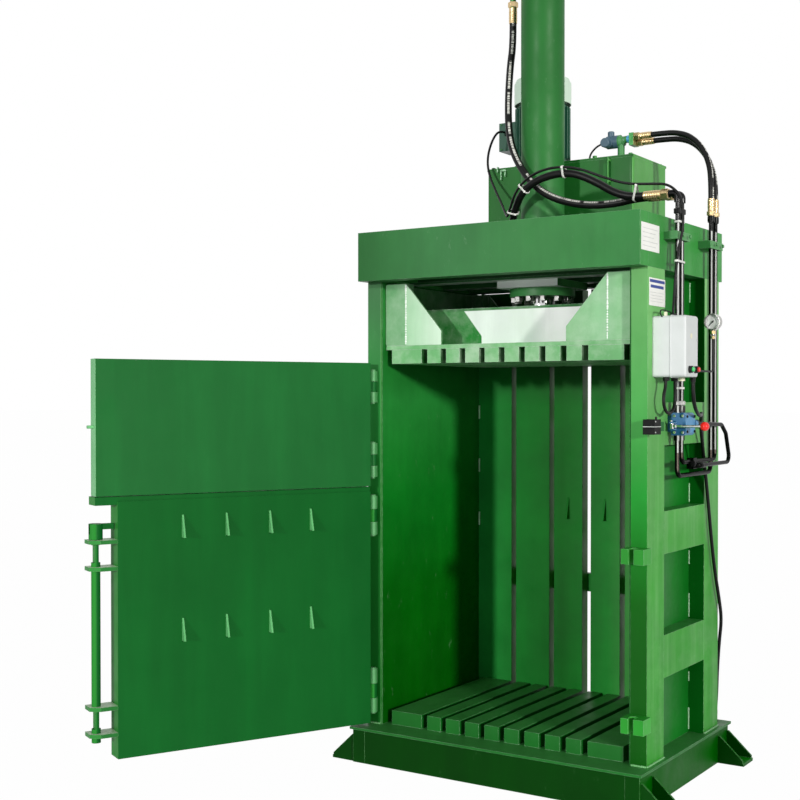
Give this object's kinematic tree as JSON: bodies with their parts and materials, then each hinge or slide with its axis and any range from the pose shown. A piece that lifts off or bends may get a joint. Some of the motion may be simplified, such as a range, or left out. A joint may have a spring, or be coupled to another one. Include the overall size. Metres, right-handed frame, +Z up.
{
  "type": "vertical recycling baler",
  "caption": "Tall welded press with a box chamber, two swinging doors, a ribbed press plate under a hydraulic cylinder, and a motor on an oil tank.",
  "frame": {"origin": "on the floor, at the centre of the rectangle of four anchor bolts", "axes": "+X to the right of somebody facing the chamber, +Y into the machine, +Z up along the cylinder"},
  "size_m": [1.9607, 2.2512, 3.32],
  "materials": {
    "frame_green": "semi-gloss",
    "door_green": "semi-gloss",
    "press_green": "semi-gloss",
    "motor_green": "satin",
    "cowl_pale": "satin",
    "tank_green": "semi-gloss",
    "filter_blue": "satin",
    "valve_blue": "satin",
    "bright_steel": "satin",
    "rod_chrome": "polished",
    "pipe_steel": "satin",
    "fitting_brass": "satin",
    "hose_rubber": "satin",
    "cable_rubber": "matt",
    "case_grey": "satin",
    "case_dark": "satin",
    "button_red": "gloss",
    "button_green": "gloss",
    "ball_red": "gloss",
    "needle_black": "satin",
    "clear_lens": "clear"
  },
  "bodies": {
    "frame": {"base_channels": "frame_green", "chamber_floor": "frame_green", "anchor_feet": "frame_green", "front_posts": "frame_green", "rear_posts": "frame_green", "side_walls": "frame_green", "cross_members": "frame_green", "back_wall": "frame_green", "top_ring": "frame_green", "cylinder_mount": "frame_green", "post_knuckles": "frame_green", "hinge_pins": "bright_steel", "catch_lugs": "frame_green", "cylinder_tube": "frame_green", "cylinder_gland": "frame_green", "gland_bolts": "bright_steel", "cylinder_cap": "frame_green", "oil_tank": "tank_green", "tank_lid": "tank_green", "level_gauge": "case_grey", "return_filter": "filter_blue", "motor_housing": "motor_green", "fan_cowl": "cowl_pale", "terminal_box": "motor_green", "pressure_pipes": "pipe_steel", "return_pipes": "pipe_steel", "pipe_clamps": "tank_green", "hand_valve": "valve_blue", "starter_box": "case_grey", "starter_cover": "case_grey", "button_bezels": "case_dark", "limit_switch": "case_dark", "gauge_case": "bright_steel", "gauge_lens": "clear_lens", "gauge_tube": "pipe_steel", "upper_hose": "hose_rubber", "lower_hose": "hose_rubber", "return_hoses": "hose_rubber", "hose_fittings": "fitting_brass", "leads": "cable_rubber", "supply_cable": "cable_rubber", "cable_coil": "cable_rubber", "cable_end": "cable_rubber", "cable_plug": "case_dark"},
    "press": {"press_plate": "press_green", "press_ribs": "press_green", "press_frame": "press_green", "piston_rod": "rod_chrome", "piston": "bright_steel"},
    "upper_door": {"upper_door": "door_green"},
    "lower_door": {"lower_door": "door_green", "lock_brackets": "door_green"},
    "lock": {"lock_shaft": "door_green"},
    "lever": {"valve_lever": "bright_steel", "lever_ball": "ball_red"},
    "start_button": {"start_button": "button_green"},
    "stop_button": {"stop_button": "button_red"},
    "plunger": {"switch_plunger": "bright_steel"},
    "needle": {"gauge_needle": "needle_black"},
    "rotor": {"motor_rotor": "bright_steel"}
  },
  "joints": [
    {"name": "press_slide", "type": "slide", "parent": "frame", "child": "press", "axis": [0, 0, -1], "range_m": [0, 1.1]},
    {"name": "upper_door_hinge", "type": "hinge", "parent": "frame", "child": "upper_door", "pos_m": [-0.583, -0.397, 0], "axis": [0, 0, 1], "range_deg": [-24, 116]},
    {"name": "lower_door_hinge", "type": "hinge", "parent": "frame", "child": "lower_door", "pos_m": [-0.583, -0.397, 0], "axis": [0, 0, 1], "range_deg": [-24, 116]},
    {"name": "lock_turn", "type": "hinge", "parent": "lower_door", "child": "lock", "pos_m": [-1.11565, -1.44118, 0.6], "axis": [0, 0, 1], "range_deg": [0, 90]},
    {"name": "valve_lever_pivot", "type": "hinge", "parent": "frame", "child": "lever", "pos_m": [0.652, -0.207, 1.402], "axis": [0, 0, 1], "range_deg": [-10, 10], "stiffness_Nm_per_rad": 8},
    {"name": "start_press", "type": "slide", "parent": "frame", "child": "start_button", "axis": [-1, 0, 0], "range_m": [0, 0.004], "stiffness_N_per_m": 600},
    {"name": "stop_press", "type": "slide", "parent": "frame", "child": "stop_button", "axis": [-1, 0, 0], "range_m": [0, 0.004], "stiffness_N_per_m": 600},
    {"name": "switch_press", "type": "slide", "parent": "frame", "child": "plunger", "axis": [1, 0, 0], "range_m": [0, 0.005], "stiffness_N_per_m": 300},
    {"name": "gauge_turn", "type": "hinge", "parent": "frame", "child": "needle", "pos_m": [0.69, 0.115, 1.808], "axis": [0, 1, 0], "range_deg": [0, 270], "stiffness_Nm_per_rad": 0.001},
    {"name": "motor_turn", "type": "hinge", "parent": "frame", "child": "rotor", "pos_m": [-0.16, 0.3125, 2.6], "axis": [0, 0, 1], "continuous": true}
  ]
}
